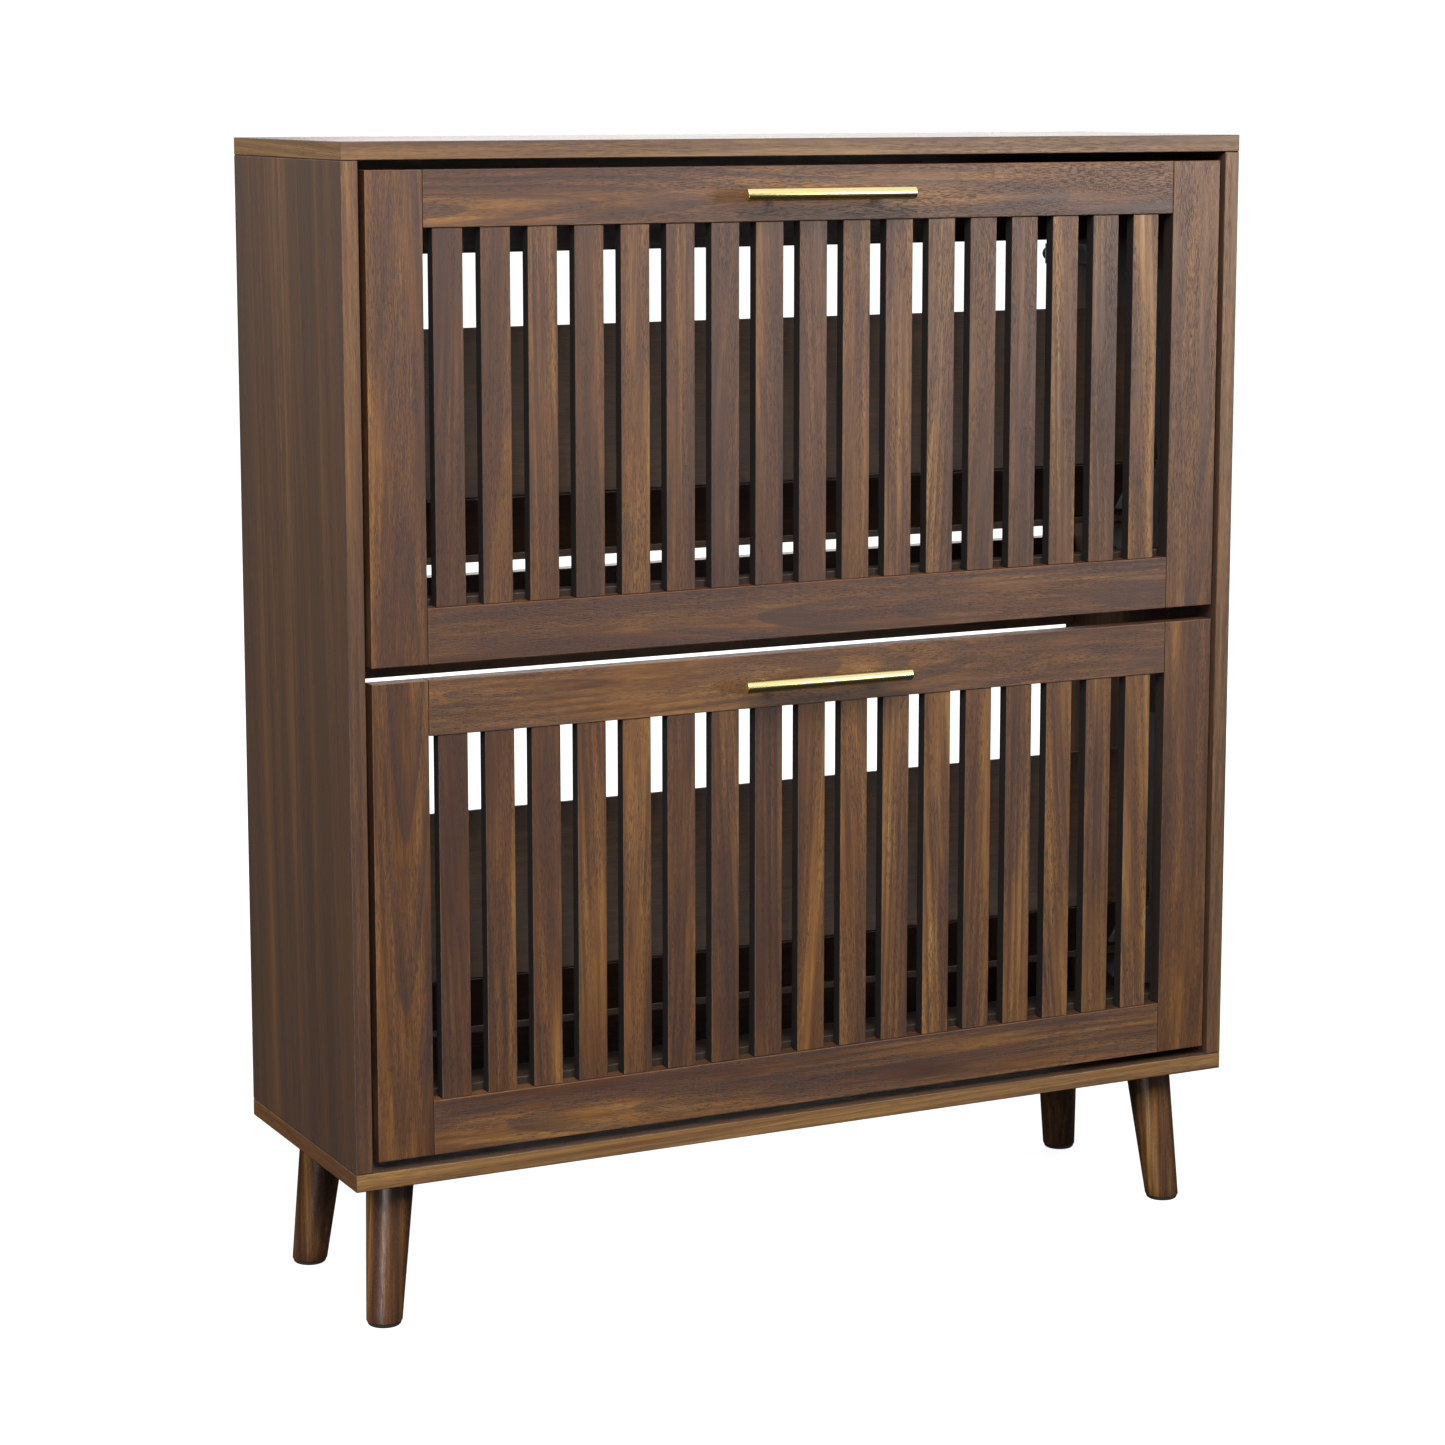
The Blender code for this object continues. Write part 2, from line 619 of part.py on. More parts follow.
def add_drawers(materials):
    plain = {**stile_meshes(materials), **rack_board_meshes(materials)}
    rails = rail_meshes(materials)
    grille = grille_meshes(materials)
    handle, screw_holes = handle_meshes(materials)
    plain.update(handle)
    plain["bottom_rail"] = rails["bottom_rail"]
    arms = {side: arm_meshes(side, sign, materials) for side, sign in SIDES.items()}
    for drawer, door_bottom in DRAWERS.items():
        pivot = add_object(f"{drawer}_pivot", None, place(0, PIVOT_DEPTH, door_bottom + PIVOT_HEIGHT))
        for name, mesh in plain.items():
            add_object(f"{drawer}_{name}", mesh, parent=pivot)
        top_rail = add_object(f"{drawer}_top_rail", rails["top_rail"], parent=pivot)
        combine(top_rail, screw_holes, "DIFFERENCE", pivot)
        add_grille(f"{drawer}_slat_grille", pivot, grille)
        for side, (plate, additions) in arms.items():
            arm = add_object(f"{drawer}_rack_arm_{side}", plate, parent=pivot)
            for mesh in additions:
                combine(arm, mesh, "UNION", pivot)


def build():
    for item in list(bpy.data.objects):
        bpy.data.objects.remove(item, do_unlink=True)
    materials = make_materials()
    add_carcass(materials)
    add_legs(materials)
    add_wall_brackets(materials)
    add_pivot_plates(materials)
    add_drawers(materials)


build()
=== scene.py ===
import math
import zlib

import bmesh
import bpy
import numpy as np
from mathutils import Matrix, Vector


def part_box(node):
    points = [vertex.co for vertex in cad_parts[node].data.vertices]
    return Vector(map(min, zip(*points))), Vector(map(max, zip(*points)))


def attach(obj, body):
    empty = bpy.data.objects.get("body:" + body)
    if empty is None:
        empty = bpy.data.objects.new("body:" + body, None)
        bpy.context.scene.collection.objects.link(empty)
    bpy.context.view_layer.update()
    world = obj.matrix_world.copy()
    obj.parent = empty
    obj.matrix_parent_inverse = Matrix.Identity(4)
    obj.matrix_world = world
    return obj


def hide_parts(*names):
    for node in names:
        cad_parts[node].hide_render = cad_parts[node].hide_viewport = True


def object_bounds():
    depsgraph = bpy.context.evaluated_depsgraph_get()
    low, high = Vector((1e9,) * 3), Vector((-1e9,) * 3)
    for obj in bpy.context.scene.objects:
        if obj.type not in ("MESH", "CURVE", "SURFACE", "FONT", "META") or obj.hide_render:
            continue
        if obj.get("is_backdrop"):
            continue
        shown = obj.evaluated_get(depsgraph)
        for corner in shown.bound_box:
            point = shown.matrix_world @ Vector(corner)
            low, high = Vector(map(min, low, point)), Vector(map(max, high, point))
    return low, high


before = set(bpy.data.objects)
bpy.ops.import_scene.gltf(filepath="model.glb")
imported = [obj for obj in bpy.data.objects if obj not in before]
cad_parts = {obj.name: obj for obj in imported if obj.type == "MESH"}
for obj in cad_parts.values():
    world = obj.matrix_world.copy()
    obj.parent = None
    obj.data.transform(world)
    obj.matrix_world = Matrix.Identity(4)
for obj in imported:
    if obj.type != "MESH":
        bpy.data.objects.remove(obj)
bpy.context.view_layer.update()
scene = bpy.context.scene
drawers = ("upper", "lower")
sides = ("left", "right")
ends = ("front", "back")
print("frame loaded:", len(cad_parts), "nodes")


# ---------- shader nodes ----------
def put(tree, kind, inputs=(), **settings):
    # one node: settings are its properties; inputs are values or links, by socket number or name
    item = tree.nodes.new("ShaderNode" + kind)
    for key, value in settings.items():
        setattr(item, key, value)
    for key, value in (inputs.items() if isinstance(inputs, dict) else enumerate(inputs)):
        if isinstance(value, bpy.types.NodeSocket):
            tree.links.new(value, item.inputs[key])
        else:
            item.inputs[key].default_value = value
    return item


def calc(tree, operation, *values):
    return put(tree, "Math", values, operation=operation).outputs[0]


def noise(tree, vector, scale, detail=2.0, roughness=0.5):
    inputs = {"Vector": vector, "Scale": scale, "Detail": detail, "Roughness": roughness}
    return put(tree, "TexNoise", inputs)


def stretched(tree, vector, factors):
    return put(tree, "VectorMath", (vector, factors), operation="MULTIPLY").outputs[0]


def rise(tree, value, low, high, to=1.0):
    # smooth step from 0 at low up to 'to' at high
    inputs = (value, low, high, 0.0, to)
    return put(tree, "MapRange", inputs, interpolation_type="SMOOTHSTEP").outputs[0]


def mixed(tree, amount, first, second, kind="MIX"):
    item = put(tree, "Mix", {0: amount, 6: first, 7: second}, data_type="RGBA", blend_type=kind)
    return item.outputs[2]


def ramp(tree, value, stops):
    item = put(tree, "ValToRGB", (value,))
    elements = item.color_ramp.elements
    while len(elements) < len(stops):
        elements.new(0.5)
    for element, (place, colour) in zip(elements, stops):
        element.position = place
        element.color = (*colour, 1.0)
    return item.outputs[0]


def newGroup(name, inputs, outputs):
    group = bpy.data.node_groups.new(name, "ShaderNodeTree")
    kinds = {"value": "NodeSocketFloat", "vector": "NodeSocketVector", "colour": "NodeSocketColor"}
    for label, kind, value in inputs:
        socket = group.interface.new_socket(label, in_out="INPUT", socket_type=kinds[kind])
        socket.default_value = value
    for label, kind in outputs:
        group.interface.new_socket(label, in_out="OUTPUT", socket_type=kinds[kind])
    return group, group.nodes.new("NodeGroupInput").outputs, group.nodes.new("NodeGroupOutput").inputs


def feed(tree, sockets, **values):
    for name, value in values.items():
        tree.links.new(value, sockets[name.replace("_", " ")])


# each noise of the figure: its scale across the grain per metre, its share of that along the grain,
# its detail and its roughness; a band's scale comes from its width instead
figureNoises = {
    "sway": (9.0, 0.15, 2.0, 0.5),
    "patch": (24.0, 0.2, 2.0, 0.5),
    "band": (None, 0.06, 2.0, 0.45),
    "streak": (260.0, 0.03, 5.0, 0.62),
    "fibre": (1400.0, 0.03, 2.0, 0.6),
    "plum": (800.0, 0.03, 3.0, 0.6),
    "plumCloud": (48.0, 0.08, 2.0, 0.5),
    "dash": (2400.0, 0.07, 1.0, 0.5),
    "crowd": (70.0, 0.12, 2.0, 0.5),
}
# where each smooth step starts and ends
figureSteps = {
    "ringStart": (0.25, 0.92), "ringStop": (0.94, 1.0), "patch": (0.38, 0.62), "plum": (0.40, 0.62),
    "plumCloud": (0.40, 0.66), "dash": (0.52, 0.60), "crowd": (0.28, 0.60),
}
# how far the grain sways in metres, the weight of the fibres in the tone, the least share of plum in a plum
# cloud, and the fibres' share of the height
figureShares = {"swayReach": 0.03, "fibres": 0.55, "plumFloor": 0.5, "fibreHeight": 0.5}


def grainNoise(tree, grain, label, scale=None):
    ownScale, along, detail, roughness = figureNoises[label]
    scale = ownScale if scale is None else scale
    return noise(tree, stretched(tree, grain, (1, 1, along)), scale, detail, roughness)


# growth rings are the distance from a wandering pith, divided by their spacing, with a dark line at each end;
# bands, streaks and fibres are noise stretched along the grain, and pores are short dark dashes
def buildWalnutFigure():
    inputs = [("Grain", "vector", (0, 0, 0)), ("Tone", "value", 0.45), ("Cool", "value", 0.0),
              ("Ring spacing", "value", 0.007), ("Rings", "value", 0.3), ("Band width", "value", 0.03),
              ("Bands", "value", 1.2), ("Streaks", "value", 0.9), ("Plum", "value", 0.5),
              ("Pores", "value", 0.6)]
    outputs = [("Colour", "colour"), ("Height", "value"), ("Dull", "value")]
    group, given, result = newGroup("walnutFigure", inputs, outputs)
    grain, steps, shares = given["Grain"], figureSteps, figureShares
    reach = (shares["swayReach"], shares["swayReach"], 0.0)
    swayNoise = grainNoise(group, grain, "sway").outputs[1]
    sway = put(group, "VectorMath", (swayNoise, (0.5, 0.5, 0.5)), operation="SUBTRACT").outputs[0]
    swayed = put(group, "VectorMath", (sway, reach, grain), operation="MULTIPLY_ADD").outputs[0]

    flat = stretched(group, swayed, (1, 1, 0))
    radius = put(group, "VectorMath", (flat,), operation="LENGTH").outputs[1]
    ring = calc(group, "FRACT", calc(group, "DIVIDE", radius, given["Ring spacing"]))
    ringStart = rise(group, ring, *steps["ringStart"])
    ringStop = calc(group, "SUBTRACT", 1.0, rise(group, ring, *steps["ringStop"]))
    patch = rise(group, grainNoise(group, swayed, "patch").outputs[0], *steps["patch"])
    ringDark = calc(group, "MULTIPLY", calc(group, "MULTIPLY", ringStart, ringStop), patch)

    bandScale = calc(group, "DIVIDE", 1.0, given["Band width"])
    band = grainNoise(group, swayed, "band", bandScale).outputs[0]
    streak = grainNoise(group, swayed, "streak").outputs[0]
    fibre = grainNoise(group, grain, "fibre").outputs[0]
    value = given["Tone"]
    for part, weight in ((band, given["Bands"]), (streak, given["Streaks"]), (fibre, shares["fibres"])):
        value = calc(group, "MULTIPLY_ADD", calc(group, "SUBTRACT", part, 0.5), weight, value)
    colour = ramp(group, value, walnutStops)

    plum = rise(group, grainNoise(group, swayed, "plum").outputs[0], *steps["plum"])
    plumCloud = rise(group, grainNoise(group, swayed, "plumCloud").outputs[0], *steps["plumCloud"])
    plumLine = calc(group, "MULTIPLY_ADD", plum, 1 - shares["plumFloor"], shares["plumFloor"])
    plumAmount = calc(group, "MULTIPLY", plumLine, plumCloud)
    colour = mixed(group, calc(group, "MULTIPLY", plumAmount, given["Plum"]), colour, plumColour)
    colour = mixed(group, calc(group, "MULTIPLY", ringDark, given["Rings"]), colour, inkColour)
    colour = mixed(group, given["Cool"], colour, coolColour)
    dash = rise(group, grainNoise(group, grain, "dash").outputs[0], *steps["dash"])
    crowd = rise(group, grainNoise(group, swayed, "crowd").outputs[0], *steps["crowd"])
    pore = calc(group, "MULTIPLY", dash, crowd)
    colour = mixed(group, calc(group, "MULTIPLY", pore, given["Pores"]), colour, poreColour)
    height = calc(group, "MULTIPLY_ADD", pore, -1.0, calc(group, "MULTIPLY", fibre, shares["fibreHeight"]))
    feed(group, result, Colour=colour, Height=height, Dull=pore)
    return group


# edge mask: the rounded strip of an edge, broken up by a soft noise
def buildEasedEdge():
    inputs = [("Edge", "value", 0.0), ("Place", "vector", (0, 0, 0)), ("Breaks", "value", 0.4)]
    group, given, result = newGroup("easedEdge", inputs, [("Mask", "value")])
    soft = rise(group, given["Edge"], 0.02, 0.55)
    rough = noise(group, given["Place"], 260.0, 2.0).outputs[0]
    lineGaps = calc(group, "MULTIPLY", rise(group, rough, 0.45, 0.62), given["Breaks"])
    keep = calc(group, "SUBTRACT", 1.0, lineGaps)
    feed(group, result, Mask=calc(group, "MULTIPLY", soft, keep))
    return group


# handling marks: broad faint clouds plus fine specks, both noise, for roughness
def buildHandling():
    inputs = [("Place", "vector", (0, 0, 0)), ("Base", "value", 0.4), ("Clouds", "value", 0.08),
              ("Specks", "value", 0.04)]
    group, given, result = newGroup("handlingMarks", inputs, [("Roughness", "value"), ("Height", "value")])
    cloud = noise(group, given["Place"], 16.0, 3.0).outputs[0]
    speck = noise(group, given["Place"], 900.0, 1.0).outputs[0]
    value = calc(group, "MULTIPLY_ADD", calc(group, "SUBTRACT", cloud, 0.5), given["Clouds"], given["Base"])
    value = calc(group, "MULTIPLY_ADD", calc(group, "SUBTRACT", speck, 0.5), given["Specks"], value)
    feed(group, result, Roughness=value, Height=speck)
    return group


walnutStops = [
    (0.00, (0.062, 0.028, 0.014)),
    (0.30, (0.120, 0.050, 0.018)),
    (0.55, (0.210, 0.090, 0.026)),
    (0.80, (0.340, 0.160, 0.042)),
    (1.00, (0.470, 0.260, 0.080)),
]
plumColour = (0.078, 0.034, 0.023, 1.0)
inkColour = (0.042, 0.028, 0.027, 1.0)
coolColour = (0.085, 0.062, 0.046, 1.0)
poreColour = (0.024, 0.015, 0.015, 1.0)
walnutFigure = buildWalnutFigure()
easedEdge = buildEasedEdge()
handlingMarks = buildHandling()


def newMaterial(name):
    material = bpy.data.materials.new(name)
    material.use_nodes = True
    return material, material.node_tree, material.node_tree.nodes["Principled BSDF"]


# walnut: the figure group for colour, a line on eased edges (on doors and rack boards a lighter line, a painted
# highlight), and near-black on faces that a gap or joint hides: a dark line at joints, painted shade elsewhere
def walnutMaterial(name, look):
    material, tree, shader = newMaterial(name)
    grain = put(tree, "Attribute", attribute_name="grain").outputs["Vector"]
    toneVector = put(tree, "Attribute", attribute_name="tones").outputs["Vector"]
    tones = put(tree, "SeparateXYZ", (toneVector,)).outputs
    edge = put(tree, "Attribute", attribute_name="edge").outputs["Fac"]
    figure = put(tree, "Group", {
        "Grain": grain, "Tone": tones[0], "Cool": tones[1], "Ring spacing": look["ringSpacing"],
        "Rings": look["rings"], "Band width": look["bandWidth"], "Bands": look["bands"],
        "Streaks": look["streaks"], "Plum": look["plum"], "Pores": look["pores"],
    }, node_tree=walnutFigure).outputs
    line = put(tree, "Group", {"Edge": edge, "Place": grain, "Breaks": 0.5}, node_tree=easedEdge).outputs[0]
    lineAmount = calc(tree, "MULTIPLY", line, look["edgeLine"])
    colour = mixed(tree, lineAmount, figure["Colour"], (*look["edgeColour"], 1.0))
    # painted shade: the tones' third entry mixes the colour toward near-black
    colour = mixed(tree, tones[2], colour, (*look["jointAndPaintedShadeColour"], 1.0))
    marks = put(tree, "Group", {"Place": grain, "Base": look["roughness"]}, node_tree=handlingMarks).outputs
    roughness = calc(tree, "MULTIPLY_ADD", figure["Dull"], 0.12, marks["Roughness"])
    # faces with painted shade are also made rougher, so they keep no sheen
    roughness = calc(tree, "MULTIPLY_ADD", tones[2], 0.4, roughness)
    bumpInputs = {"Strength": look["bump"], "Distance": 0.0003, "Height": figure["Height"]}
    tree.links.new(colour, shader.inputs["Base Color"])
    tree.links.new(roughness, shader.inputs["Roughness"])
    tree.links.new(put(tree, "Bump", bumpInputs).outputs[0], shader.inputs["Normal"])
    return material


# ---------- meshes ----------
def putAttribute(mesh, name, kind, domain, values):
    layer = mesh.attributes.new(name, kind, domain)
    key = "vector" if kind == "FLOAT_VECTOR" else "value"
    layer.data.foreach_set(key, np.ascontiguousarray(values, np.float32).ravel())


def newPiece(name, mesh, body, material, replaced=()):
    mesh.materials.clear()
    mesh.materials.append(material)
    piece = bpy.data.objects.new(name, mesh)
    scene.collection.objects.link(piece)
    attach(piece, body)
    if replaced:
        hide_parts(*replaced)
    return piece


# a grain place is (across, depth, along) in metres, leaned a little and moved off the pith by the figure
def grainPlaces(points, order, figure):
    across, depth, along = (points[:, axis] for axis in order)
    return np.stack([
        across + along * figure["slant"] + figure["pithAcross"],
        depth + along * figure["tip"] + figure["pithDepth"],
        along * figure["shorten"] + figure["start"],
    ], axis=1)


# each piece's own figure: straight grain is cut far from the pith, arched grain close above it
def pieceFigure(name, kind, shorten=1.0):
    dice = np.random.default_rng(zlib.crc32(name.encode()))
    side = dice.choice((-1.0, 1.0))
    figure = {"start": dice.uniform(-30, 30), "shorten": shorten}
    if kind == "arched":
        figure.update(slant=dice.uniform(-0.02, 0.02), tip=side * dice.uniform(0.03, 0.07),
                      pithAcross=dice.uniform(-0.012, 0.012), pithDepth=dice.uniform(0.02, 0.035))
    else:
        figure.update(slant=dice.uniform(-0.05, 0.05), tip=dice.uniform(-0.03, 0.03),
                      pithAcross=side * dice.uniform(0.05, 0.12), pithDepth=dice.uniform(0.02, 0.10))
    return figure


# eased board: the points of a box grid are pulled onto an inner box grown by the edge radius,
# so that faces stay flat and every edge and corner is a small quarter round
def easedBoard(low, high, radius, steps=2):
    middle, half = (high + low) / 2, (high - low) / 2
    rounding = radius * np.tan(np.linspace(0, math.pi / 4, steps + 1))
    samples = [np.concatenate([-(size - radius) - rounding[::-1], (size - radius) + rounding]) for size in half]
    count = 2 * (steps + 1)
    row, column = np.meshgrid(np.arange(count - 1), np.arange(count - 1), indexing="ij")
    first = (row * count + column).ravel()
    quads = np.stack([first, first + count, first + count + 1, first + 1], axis=1)
    points, faces, normalAxis = [], [], []
    for axis in range(3):
        for sign in (-1, 1):
            a, b = (axis + 1) % 3, (axis + 2) % 3
            grid = np.zeros((count, count, 3))
            grid[..., a] = samples[a][:, None]
            grid[..., b] = samples[b][None, :]
            grid[..., axis] = sign * half[axis]
            faces.append((quads if sign > 0 else quads[:, ::-1]) + sum(len(p) for p in points))
            points.append(grid.reshape(-1, 3))
            normalAxis.append(np.full(len(quads), axis * 2 + (sign > 0)))
    points, faces, normalAxis = np.concatenate(points), np.concatenate(faces), np.concatenate(normalAxis)
    inner = np.clip(points, -(half - radius), half - radius)
    outward = points - inner
    normals = outward / np.linalg.norm(outward, axis=1, keepdims=True)
    shell = inner + radius * normals
    keys, firstOf, shared = np.unique(np.round(shell * 1e7).astype(np.int64), axis=0,
                                      return_index=True, return_inverse=True)
    shared = shared.reshape(-1)
    edge = np.clip((1 - np.abs(normals[firstOf]).max(axis=1)) / (1 - math.sqrt(0.5)), 0, 1)
    return {
        "points": shell[firstOf] + middle, "normals": normals[firstOf], "edge": edge,
        "faces": shared[faces], "corners": (shell + middle)[faces.ravel()], "side": normalAxis,
    }


# the grain runs along one axis; end faces carry a strip of edging whose grain runs along the face
def addBoard(name, low, high, body, look, replaced=()):
    low, high = np.array(low), np.array(high)
    shape = easedBoard(low, high, look["edgeRadius"])
    mesh = bpy.data.meshes.new(name)
    mesh.from_pydata(shape["points"].tolist(), [], shape["faces"].tolist())
    mesh.shade_smooth()
    mesh.normals_split_custom_set_from_vertices(shape["normals"].tolist())
    along = "xyz".index(look["along"])
    thin = int(np.argmin(high - low))
    across = 3 - along - thin
    figure = pieceFigure(name, look["figure"], look["shorten"])
    corners = shape["corners"] - (low + high) / 2
    places = grainPlaces(corners, (across, thin, along), figure)
    faceAxis = np.repeat(shape["side"], 4)
    edging = faceAxis // 2 == along
    places[edging] = grainPlaces(corners[edging], (thin, along, across), figure) + (0.31, 0.07, 0.5)
    strip = faceAxis // 2 == across
    places[strip] += (0.02, 0.19, 0.7)
    putAttribute(mesh, "grain", "FLOAT_VECTOR", "CORNER", places)
    tones = np.zeros((len(corners), 3))
    tones[:, 0] = look["tone"]
    tones[:, 1] = look["cool"]
    tones[strip | edging, 0] += look["edgingTone"]
    tones[strip | edging, 1] *= look["edgingCool"]
    # listed faces are near-black: painted shade on faces in a gap, a dark line on faces that meet at a joint
    for label, amount in look["shade"].items():
        code = "xyz".index(label[1]) * 2 + (label[0] == "+")
        tones[faceAxis == code, 2] = amount
    putAttribute(mesh, "tones", "FLOAT_VECTOR", "CORNER", tones)
    putAttribute(mesh, "edge", "FLOAT", "POINT", shape["edge"])
    return newPiece(name, mesh, body, look["material"], replaced)


# eased section: each corner of a (depth, height) outline gives way to an arc that meets both its sides
def easedSection(corners, radius, steps):
    before, after = corners - np.roll(corners, 1, axis=0), np.roll(corners, -1, axis=0) - corners
    before /= np.linalg.norm(before, axis=1, keepdims=True)
    after /= np.linalg.norm(after, axis=1, keepdims=True)
    bend = np.arctan2(before[:, 0] * after[:, 1] - before[:, 1] * after[:, 0], (before * after).sum(axis=1))
    first = np.arctan2(-before[:, 0], before[:, 1])
    angle = first[:, None] + bend[:, None] * np.linspace(0, 1, steps + 1)
    normals = np.stack([np.cos(angle), np.sin(angle)], axis=-1)
    signed = (radius * np.sign(bend))[:, None]
    touch = corners - before * (radius * np.tan(np.abs(bend) / 2))[:, None]
    centres = touch - normals[:, 0] * signed
    points = centres[:, None] + normals * signed[:, None]
    edge = np.tile(np.sin(np.linspace(0, math.pi, steps + 1)), len(corners))
    return points.reshape(-1, 2), normals.reshape(-1, 2), edge


# rack board: the node's outline, eased, carried across the cabinet and drawn in by a quarter round at each end
def addRackBoard(nodeName, body, look, steps=2):
    corners = cornerPoints(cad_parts[nodeName].data)
    outline = np.unique(np.round(corners[:, 1:] * 1e5) / 1e5, axis=0)
    fromMiddle = outline - outline.mean(axis=0)
    outline = outline[np.argsort(np.arctan2(fromMiddle[:, 1], fromMiddle[:, 0]))]
    ease = look["edgeRadius"]
    section, facing, edge = easedSection(outline, ease * 1.5, steps)
    turn = np.linspace(math.pi / 2, 0, steps + 1)
    turn = np.concatenate([turn, turn[::-1]])
    way = np.repeat((-1.0, 1.0), steps + 1)
    start, stop = corners[:, 0].min() + ease, corners[:, 0].max() - ease
    across = np.where(way < 0, start, stop) + way * ease * np.sin(turn)
    inset = ease * (1 - np.cos(turn))
    count, stations = len(section), len(across)
    points = np.empty((stations, count, 3))
    points[..., 0] = across[:, None]
    points[..., 1:] = section[None] - inset[:, None, None] * facing[None]
    normals = np.empty_like(points)
    normals[..., 0] = (way * np.sin(turn))[:, None]
    normals[..., 1:] = np.cos(turn)[:, None, None] * facing[None]
    grids = np.meshgrid(np.arange(stations - 1), np.arange(count), indexing="ij")
    station, step = (grid.ravel() for grid in grids)
    following = (step + 1) % count
    quads = np.stack([station * count + step, station * count + following,
                      (station + 1) * count + following, (station + 1) * count + step], axis=1)
    lowEnd, highEnd = np.arange(count)[::-1], np.arange(count) + (stations - 1) * count
    name = nodeName + "_veneered"
    mesh = bpy.data.meshes.new(name)
    mesh.from_pydata(points.reshape(-1, 3).tolist(), [], quads.tolist() + [lowEnd.tolist(), highEnd.tolist()])
    mesh.shade_smooth()
    mesh.normals_split_custom_set_from_vertices(normals.reshape(-1, 3).tolist())
    putGrain(mesh, name, (1, 2, 0), look)
    putAttribute(mesh, "edge", "FLOAT", "POINT", np.maximum(edge[None], np.sin(turn * 2)[:, None]))
    return newPiece(name, mesh, body, look["material"], (nodeName,))


# turned piece: circles of the given radii about the centres, closed by a point at each end
def turnedMesh(name, centres, radii, acrossWay, upWay, sides=48):
    centres, radii = np.array(centres, float), np.array(radii, float)
    angle = np.linspace(0, 2 * math.pi, sides, endpoint=False)
    circle = np.cos(angle)[:, None] * np.array(acrossWay) + np.sin(angle)[:, None] * np.array(upWay)
    points = centres[:, None, :] + radii[:, None, None] * circle[None]
    points = np.concatenate([points.reshape(-1, 3), centres[:1], centres[-1:]])
    ring, step = np.meshgrid(np.arange(len(centres) - 1), np.arange(sides), indexing="ij")
    following = (step + 1) % sides
    quads = np.stack([ring * sides + step, ring * sides + following,
                      (ring + 1) * sides + following, (ring + 1) * sides + step], axis=-1).reshape(-1, 4)
    start, stop = len(points) - 2, len(points) - 1
    step, following = np.arange(sides), (np.arange(sides) + 1) % sides
    last = (len(centres) - 1) * sides
    startFan = np.stack([np.full(sides, start), following, step], axis=1)
    stopFan = np.stack([np.full(sides, stop), last + step, last + following], axis=1)
    mesh = bpy.data.meshes.new(name)
    mesh.from_pydata(points.tolist(), [], quads.tolist() + startFan.tolist() + stopFan.tolist())
    mesh.shade_smooth()
    mesh.set_sharp_from_angle(angle=math.radians(40))
    return mesh


# profile of a rod from 0 to length whose two ends are rounded over by 'ease'
def rodProfile(length, radius, ease, steps=4):
    turn = np.linspace(0, math.pi / 2, steps + 1)
    reach = np.concatenate([ease - ease * np.cos(turn), length - ease + ease * np.sin(turn)])
    width = np.concatenate([radius - ease + ease * np.sin(turn), radius - ease + ease * np.cos(turn)])
    return reach, width


def cornerPoints(mesh):
    points = np.zeros(len(mesh.vertices) * 3)
    mesh.vertices.foreach_get("co", points)
    index = np.zeros(len(mesh.loops), np.int32)
    mesh.loops.foreach_get("vertex_index", index)
    return points.reshape(-1, 3)[index]


def putGrain(mesh, name, order, look):
    corners = cornerPoints(mesh)
    figure = pieceFigure(name, look["figure"], look["shorten"])
    places = grainPlaces(corners - corners.mean(axis=0), order, figure)
    putAttribute(mesh, "grain", "FLOAT_VECTOR", "CORNER", places)
    # the third entry is painted shade: a share of near-black for a board that lies in shade
    tones = np.tile((look["tone"], look["cool"], look["dark"]), (len(corners), 1))
    putAttribute(mesh, "tones", "FLOAT_VECTOR", "CORNER", tones)


# distances in metres, angles in degrees
copyLook = {"merge": 0.00001, "flat": 1.0, "sharp": 35.0}


# a fitting keeps its CAD shape: its triangles are merged and its edges are broken by a small bevel
def easedCopy(nodeName, body, look):
    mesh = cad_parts[nodeName].data.copy()
    mesh.name = nodeName + "_finished"
    for label in ("custom_normal", "UVMap"):
        if label in mesh.attributes:
            mesh.attributes.remove(mesh.attributes[label])
    shape = bmesh.new()
    shape.from_mesh(mesh)
    bmesh.ops.remove_doubles(shape, verts=shape.verts, dist=copyLook["merge"])
    flat = math.radians(copyLook["flat"])
    bmesh.ops.dissolve_limit(shape, angle_limit=flat, verts=shape.verts, edges=shape.edges)
    shape.to_mesh(mesh)
    shape.free()
    mesh.shade_smooth()
    mesh.set_sharp_from_angle(angle=math.radians(copyLook["sharp"]))
    piece = newPiece(mesh.name, mesh, body, look["material"], (nodeName,))
    bevel = piece.modifiers.new("easedEdges", "BEVEL")
    bevel.width = look["edgeRadius"]
    bevel.segments = 2
    bevel.limit_method = "ANGLE"
    bevel.angle_limit = math.radians(copyLook["sharp"])
    bevel.use_clamp_overlap = True
    return piece


print("tools ready")

# ---------- finishes ----------
caseWood = walnutMaterial("carcassWalnut", {
    "ringSpacing": 0.006, "rings": 0.4, "bandWidth": 0.040, "bands": 1.6, "streaks": 1.1, "plum": 0.55,
    "pores": 0.55, "bump": 0.2, "roughness": 0.36,
    "edgeLine": 1.0, "edgeColour": (0.045, 0.024, 0.015), "jointAndPaintedShadeColour": (0.008, 0.004, 0.002),
})
